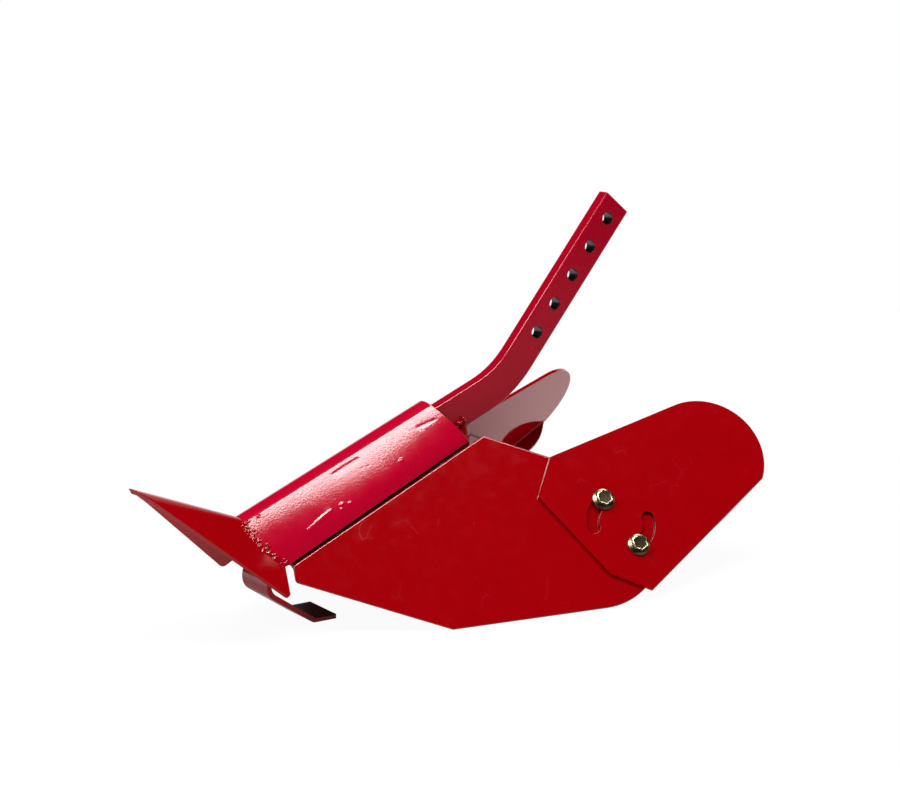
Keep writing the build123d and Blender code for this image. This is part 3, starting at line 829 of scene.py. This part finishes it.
def remeshed(bm, voxel):
    """A mesh made one skin of even small faces."""
    mesh = bpy.data.meshes.new("skin")
    bm.to_mesh(mesh)
    bm.free()
    holder = bpy.data.objects.new("skin", mesh)
    bpy.context.scene.collection.objects.link(holder)
    remesh = holder.modifiers.new("skin", "REMESH")
    remesh.mode = "VOXEL"
    remesh.voxel_size = voxel
    depsgraph = bpy.context.evaluated_depsgraph_get()
    skin = bpy.data.meshes.new_from_object(holder.evaluated_get(depsgraph))
    bpy.data.objects.remove(holder)
    result = bmesh.new()
    result.from_mesh(skin)
    return result


def roughen(bm, amount, scale):
    """Moves every vertex in or out by a noise."""
    bm.normal_update()
    moves = [(vertex, vertex.normal * noise.noise(vertex.co * scale) * amount) for vertex in bm.verts]
    for vertex, move in moves:
        vertex.co += move


def add_drop(bm, radius, place):
    """Adds a drop to a mesh, placed by a matrix."""
    bmesh.ops.create_icosphere(bm, subdivisions=DROP_STEPS, radius=radius, matrix=place)


def make_share_weld(node, material):
    """A lumpy bead along the nose's foot, with rows of splashes."""
    side = side_of(node)
    draw = random.Random(BEAD_SEEDS[node])
    face = on_side(SHARE_FACE, side)
    along = seam_place(1.0, side) - seam_place(0.0, side)
    across = face.cross(along).normalized()
    across = across if across.dot(nose_normal(side)) > 0 else -across
    bm = bmesh.new()
    for step in range(BEAD_DROPS):
        place = seam_place(SEAM_REACH * step / (BEAD_DROPS - 1), side)
        radius = BEAD_RADIUS * draw.uniform(*BEAD_SIZES)
        add_drop(bm, radius, Matrix.Translation(place))
    for rise, out, size in SPLASH_ROWS:
        lean = face if out else nose_normal(side)
        turn = lean.to_track_quat("Z", "Y").to_matrix().to_4x4()
        for step in range(SPLASH_DROPS):
            place = seam_place(SEAM_REACH * (step + draw.uniform(*SPLASH_SHIFTS)) / (SPLASH_DROPS - 1), side)
            climb = -LEG_DOWN * rise * draw.uniform(*SPLASH_RISES)
            place += climb + across * out * draw.uniform(*SPLASH_REACHES)
            radius = size * draw.uniform(*SPLASH_SIZES)
            width = radius * draw.uniform(*SPLASH_WIDTHS)
            flat = Matrix.Diagonal((radius, width, radius * SPLASH_FLAT, 1.0))
            add_drop(bm, 1.0, Matrix.Translation(place) @ turn @ flat)
    bm = remeshed(bm, BEAD_VOXEL)
    bmesh.ops.smooth_vert(bm, verts=bm.verts, factor=BEAD_SMOOTH, use_axis_x=True, use_axis_y=True,
                          use_axis_z=True)
    roughen(bm, BEAD_LUMP, BEAD_LUMP_SCALE)
    finish_piece(bm, node, "frame", material)


def make_weld(node, material):
    """A packed weld bead with an uneven skin, lumps at a gusset's end, and painted shade where a seam bead
    shows through the gap behind the nose.
    """
    bm = solid_copy(node)
    if node.endswith("gusset_weld"):
        for place, radius in GUSSET_LUMPS:
            add_drop(bm, radius, Matrix.Translation(mirrored_left(node, place)))
    bm = remeshed(bm, BEAD_VOXEL)
    roughen(bm, WELD_LUMP, WELD_LUMP_SCALE)
    # Painted shade on the seam bead's outer side, seen through the dark gap.
    if node.endswith("seam_weld"):
        outward = mirrored_left(node, WING_OUT)
        bm.verts.layers.float.new("shade")
        bm.normal_update()
        mark_painted_shade(bm, [vertex for vertex in bm.verts if vertex.normal.dot(outward) > 0], SEAM_SHADE)
    finish_piece(bm, node, "frame", material)


def lathe(bm, profile, steps):
    """Turns a profile of radius and height round the upright axis."""
    points = [bm.verts.new((radius, 0.0, height)) for radius, height in profile]
    line = [bm.edges.new(pair) for pair in zip(points, points[1:])]
    bmesh.ops.spin(bm, geom=points + line, cent=(0.0, 0.0, 0.0), axis=UPWARD, angle=2 * pi, steps=steps,
                   use_merge=True)
    bmesh.ops.remove_doubles(bm, verts=bm.verts, dist=MERGE)


def bolt_stem():
    """The profile of a bolt's stem, with thread ridges on its lower part."""
    profile = [(0.0, 0.0), (STEM_RADIUS, 0.0)]
    start = -STEM_LOW + THREAD_PITCH * THREAD_TURNS
    for turn in range(THREAD_TURNS):
        profile.append((STEM_RADIUS, start - turn * THREAD_PITCH))
        profile.append((STEM_RADIUS - THREAD_DEPTH, start - (turn + 0.5) * THREAD_PITCH))
    profile += [(STEM_RADIUS - THREAD_DEPTH, -STEM_LOW), (0.0, -STEM_LOW)]
    return profile


def make_bolt(node, material):
    """A flange bolt with a conical collar, a chamfered hexagon with a dished top in painted shade, and a
    threaded stem.
    """
    outward = mirrored_left(node, WING_OUT)
    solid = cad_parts[node].data
    top = max(vertex.co.dot(outward) for vertex in solid.vertices)
    middle = sum((vertex.co for vertex in solid.vertices), Vector()) / len(solid.vertices)
    seat = middle + outward * (top - BOLT_HEAD - middle.dot(outward))
    bm = bmesh.new()
    bm.verts.layers.float.new("shade")
    lathe(bm, BOLT_PROFILE, BOLT_STEPS)
    lathe(bm, bolt_stem(), STEM_STEPS)
    base = bmesh.ops.create_circle(bm, cap_ends=True, segments=HEX_SIDES, radius=HEX_RADIUS,
                                   matrix=Matrix.Translation(UPWARD * HEX_BASE))
    bottom = base["verts"][0].link_faces[0]
    raised = bmesh.ops.extrude_face_region(bm, geom=[bottom], use_keep_orig=True)["geom"]
    cap = [item for item in raised if isinstance(item, bmesh.types.BMFace)][0]
    for vertex in cap.verts:
        vertex.co.z = HEX_TOP
    bmesh.ops.recalc_face_normals(bm, faces=bm.faces)
    bmesh.ops.bevel(bm, geom=list(cap.edges), offset=HEX_CHAMFER, offset_type="OFFSET", affect="EDGES",
                    segments=HEX_CHAMFER_STEPS, profile=0.5, material=-1, clamp_overlap=True)
    level_faces = [face for face in bm.faces if face.normal.z > HEX_LEVEL]
    cap = max(level_faces, key=lambda face: face.calc_center_median().z)
    for width, rise in HEX_DISH:
        bmesh.ops.inset_individual(bm, faces=[cap], thickness=width, depth=rise, use_even_offset=True)
    # Painted shade in the dished top, standing in for the dark that it mirrors.
    mark_painted_shade(bm, cap.verts)
    turn = outward.to_track_quat("Z", "Y").to_matrix().to_4x4()
    bmesh.ops.transform(bm, matrix=Matrix.Translation(seat) @ turn, verts=bm.verts)
    finish_piece(bm, node, "frame", material)


def make_pieces():
    """Every piece of the plough."""
    groups = (paint_skin_group(), scratch_group(), chip_group())
    red = red_enamel("wing_enamel", WING_RED, WING_SKIN, groups, scuffs=SCUFF_SHARE)
    bead = red_enamel("bead_enamel", WING_RED, WING_SKIN, groups)
    # The nose's red is set lighter than the wings' as painted light.
    nose = red_enamel("nose_lit_enamel", NOSE_LIT_RED, NOSE_SKIN, groups, cover=NOSE_COVER)
    bare_patch(nose, *NOSE_PATCH)
    shank = shank_lit_enamel(groups)
    zinc = zinc_steel(groups[0])
    for node in sorted(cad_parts):
        if node.endswith("_bolt"):
            make_bolt(node, zinc)
        elif node.endswith(("_nut", "_washer")):
            rounded_piece(node, zinc, STEEL_ROUND)
        elif node == "shank":
            make_shank(shank)
        elif node == "breast_plate":
            make_nose(nose)
        elif node == "share":
            make_share(red)
        elif node == "rear_skid":
            make_skid(red)
        elif node.endswith("_wing"):
            make_wing(node, red)
        elif node.endswith("_extension"):
            make_extension(node, red)
        elif node.endswith("share_weld"):
            make_share_weld(node, bead)
        elif node.endswith("_weld"):
            make_weld(node, bead)
        else:
            # The remaining pieces, the gussets among them, are darkened all over with painted shade.
            rounded_piece(node, red, PLATE_ROUND, GUSSET_SHADE)


def make_camera():
    """The camera at the photograph's viewing angle."""
    data = bpy.data.cameras.new("camera")
    data.lens = CAMERA_LENS
    data.sensor_width = CAMERA_SENSOR
    camera = bpy.data.objects.new("camera", data)
    back = CAMERA_RIGHT.cross(CAMERA_UP).normalized()
    turn = Matrix((CAMERA_RIGHT, CAMERA_UP, back)).transposed().to_4x4()
    camera.matrix_world = Matrix.Translation(CAMERA_PLACE) @ turn
    bpy.context.scene.collection.objects.link(camera)
    bpy.context.scene.camera = camera


def toward(azimuth, elevation):
    """The direction at an azimuth from +X and an elevation."""
    return Vector((cos(elevation) * cos(azimuth), cos(elevation) * sin(azimuth), sin(elevation)))


def make_panels():
    """Soft panel lamps round the plough."""
    for name, (azimuth, elevation, distance, width, height, power) in PANELS.items():
        data = bpy.data.lights.new(name, "AREA")
        data.shape = "RECTANGLE"
        data.size = width
        data.size_y = height
        data.energy = power
        lamp = bpy.data.objects.new(name, data)
        way = toward(radians(azimuth), radians(elevation))
        lamp.location = PLOUGH_MIDDLE + way * distance
        lamp.rotation_euler = way.to_track_quat("Z", "Y").to_euler()
        bpy.context.scene.collection.objects.link(lamp)


def seen_share(tree):
    """Whether the camera looks at it, and whether a mirror or glass shows it."""
    path = add_node(tree, "ShaderNodeLightPath").outputs
    mirrored = calc(tree, "MAXIMUM", path["Is Glossy Ray"], path["Is Transmission Ray"])
    return path["Is Camera Ray"], mirrored


def make_floor():
    """A pale round floor that turns white away from the plough, and glows in mirrors as a painted
    reflection, with a painted shadow near the plough.
    """
    bm = bmesh.new()
    bmesh.ops.create_circle(bm, cap_ends=True, segments=FLOOR_STEPS, radius=FLOOR_RADIUS)
    mesh = bpy.data.meshes.new("floor")
    bm.to_mesh(mesh)
    bm.free()
    material, tree, shader = new_material("floor_white")
    tree.nodes.remove(shader)
    pale = add_node(tree, "ShaderNodeBsdfDiffuse")
    pale.inputs["Color"].default_value = (FLOOR_TONE, FLOOR_TONE, FLOOR_TONE, 1.0)
    white = add_node(tree, "ShaderNodeEmission")
    reach = add_node(tree, "ShaderNodeVectorMath", operation="LENGTH")
    place = surface_point(tree)
    feed(tree, reach.inputs[0], place)
    seen, mirrored = seen_share(tree)
    lift = ramp(tree, reach.outputs["Value"], FLOOR_CLEAR, FLOOR_WHITE, FLOOR_LIFT, 1.0)
    # In mirrors the floor glows: a painted reflection, dimmed near the plough as a painted shadow and dimmed
    # towards the left.
    mirrored_shadow = ramp(tree, reach.outputs["Value"], *FLOOR_RING, FLOOR_NEAR, 1.0)
    side = measure(tree, place, LEFT)
    falls = [ramp(tree, side, *span, 1.0, FLOOR_FAR) for span in (FLOOR_LIT, FLOOR_DIM)]
    lit = calc(tree, "MULTIPLY", *falls)
    feed(tree, white.inputs["Strength"], calc(tree, "MAXIMUM", seen, calc(tree, "MULTIPLY", lit, mirrored_shadow)))
    mix = add_node(tree, "ShaderNodeMixShader")
    feed(tree, mix.inputs[0], calc(tree, "MULTIPLY_ADD", seen, lift, mirrored))
    feed(tree, mix.inputs[1], pale.outputs[0])
    feed(tree, mix.inputs[2], white.outputs[0])
    feed(tree, tree.nodes["Material Output"].inputs["Surface"], mix.outputs[0])
    mesh.materials.append(material)
    floor = bpy.data.objects.new("floor", mesh)
    bpy.context.scene.collection.objects.link(floor)


def make_studio():
    """A white backdrop behind the plough, and a dim room that fills the shade elsewhere."""
    world = bpy.data.worlds.new("studio")
    bpy.context.scene.world = world
    world.use_nodes = True
    tree = world.node_tree
    way = add_node(tree, "ShaderNodeTexCoord").outputs["Generated"]
    level_way = add_node(tree, "ShaderNodeVectorMath", operation="MULTIPLY")
    feed(tree, level_way.inputs[0], way)
    level_way.inputs[1].default_value = (1.0, 1.0, 0.0)
    heading = add_node(tree, "ShaderNodeVectorMath", operation="NORMALIZE")
    feed(tree, heading.inputs[0], level_way.outputs[0])
    facing = measure(tree, heading.outputs[0], toward(BACKDROP_AZIMUTH, 0.0))
    height = measure(tree, way, UPWARD)
    behind = calc(tree, "MULTIPLY", ramp(tree, facing, *BACKDROP_SIDES), ramp(tree, height, *BACKDROP_TOP))
    skirt = calc(tree, "MULTIPLY", ramp(tree, facing, *SKIRT_SIDES), ramp(tree, height, *SKIRT_TOP))
    behind = calc(tree, "MAXIMUM", calc(tree, "MAXIMUM", behind, skirt), DIM_LEVEL)
    seen, mirrored = seen_share(tree)
    level = blend_colours(tree, mirrored, (FILL_LEVEL,) * 3, behind)
    level = blend_colours(tree, seen, level, (1.0, 1.0, 1.0))
    feed(tree, tree.nodes["Background"].inputs["Color"], level)


make_camera()
make_panels()
make_floor()
make_studio()
make_pieces()
bpy.context.scene.view_settings.view_transform = "Standard"
